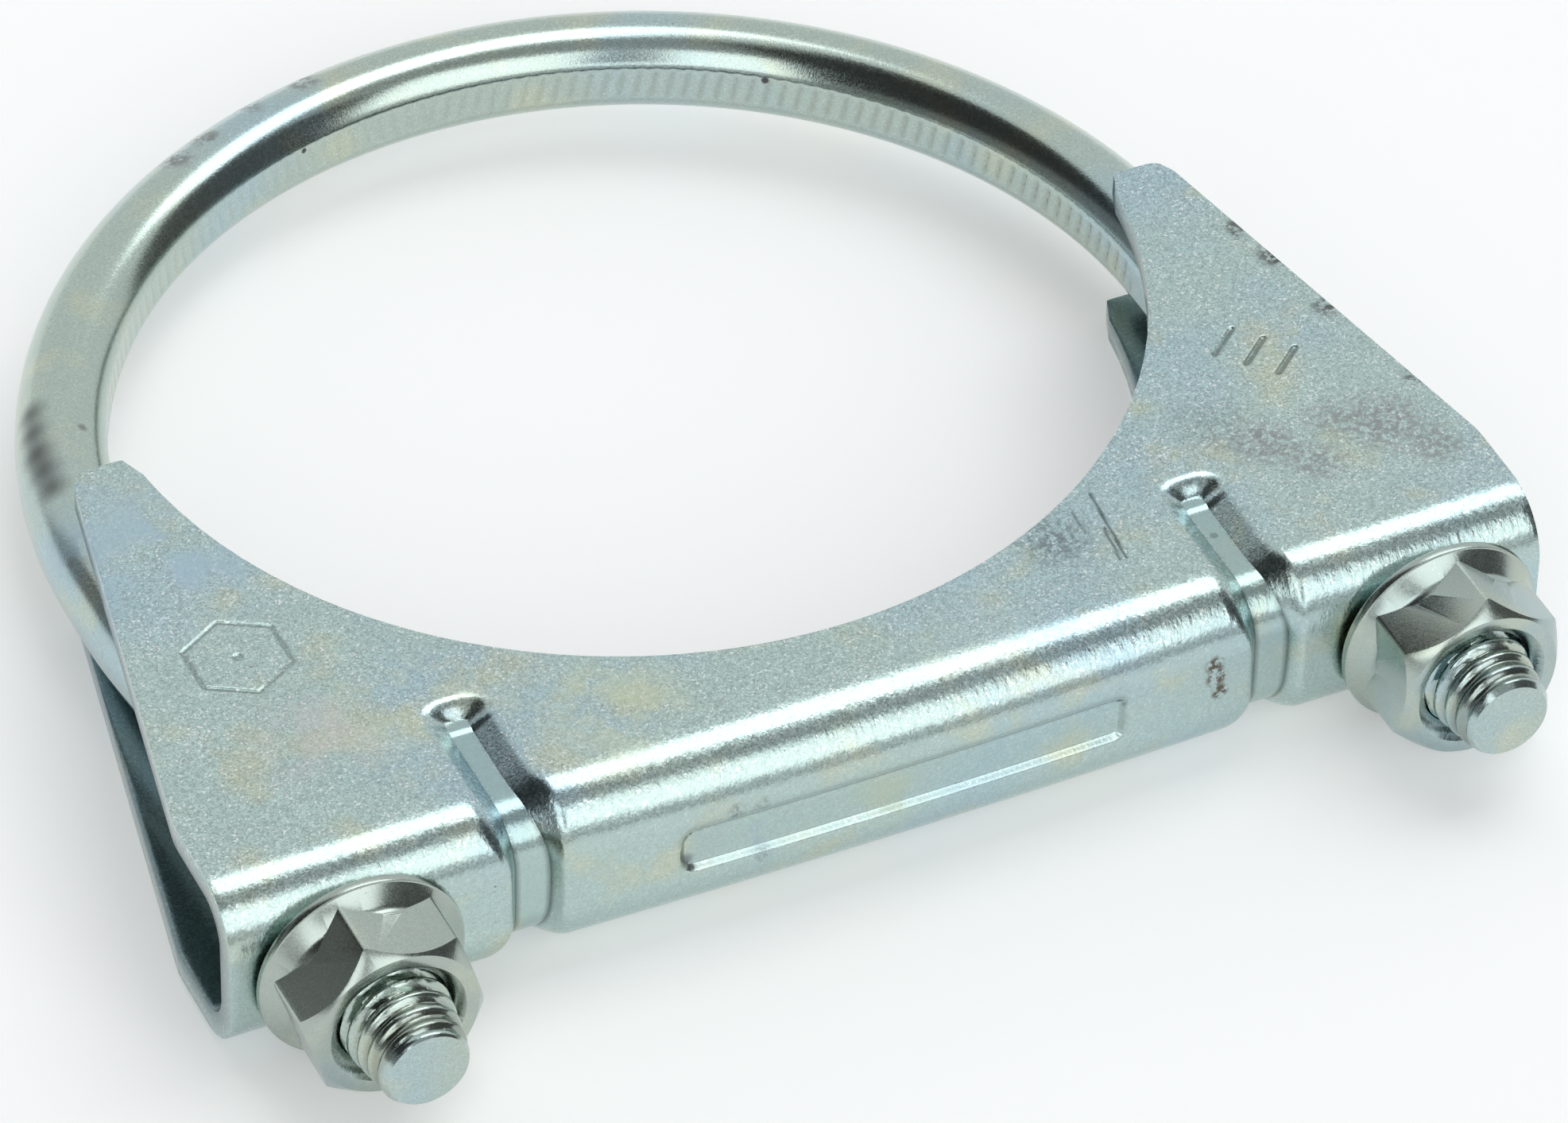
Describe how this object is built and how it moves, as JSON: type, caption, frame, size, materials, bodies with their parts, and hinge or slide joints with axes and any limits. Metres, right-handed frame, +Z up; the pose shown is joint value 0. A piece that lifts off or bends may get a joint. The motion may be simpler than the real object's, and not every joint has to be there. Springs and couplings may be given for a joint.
{
  "type": "exhaust clamp",
  "caption": "U-bolt exhaust clamp for a 76 mm pipe: coined round rod bent to a ring with threaded legs, pressed saddle with half-round cut-out, flange nuts.",
  "frame": {"origin": "centre of the bottom of the box round the whole clamp, lying flat", "axes": "+X from the left stud to the right stud, +Y from the stud ends towards the back of the ring, along the studs, +Z up, square to the plane of the U-bolt"},
  "size_m": [0.0986, 0.0974, 0.015],
  "materials": {
    "u_bolt_zinc": "bright zinc plating on drawn steel rod, smooth and shiny with soft streaks",
    "saddle_zinc": "bright zinc plating on pressed sheet steel, satin with fine bright flecks, a faint blue tint, small stains and scratches",
    "nut_zinc": "zinc plating on cold-formed steel, grey satin with bright chamfers"
  },
  "bodies": {
    "u_bolt": {"u_bolt": "u_bolt_zinc"},
    "saddle": {"saddle": "saddle_zinc"},
    "nut_left": {"nut_left": "nut_zinc"},
    "nut_right": {"nut_right": "nut_zinc"}
  },
  "joints": [
    {"name": "saddle_slide", "type": "slide", "parent": "u_bolt", "child": "saddle", "axis": [0, 1, 0], "range_m": [-0.0045, 0.008]},
    {"name": "nut_left_turn", "type": "hinge", "parent": "saddle", "child": "nut_left", "pos_m": [-0.04033, -0.03723, 0.0075], "axis": [0, 1, 0], "range_deg": [-1300, 2310]},
    {"name": "nut_right_turn", "type": "hinge", "parent": "saddle", "child": "nut_right", "pos_m": [0.04107, -0.03807, 0.0075], "axis": [0, 1, 0], "range_deg": [-1300, 2310]}
  ],
  "couplings": [
    {"joint": "nut_left_turn", "follows": "saddle_slide", "rad_per_m": 5026.6},
    {"joint": "nut_right_turn", "follows": "saddle_slide", "rad_per_m": 5026.6}
  ]
}
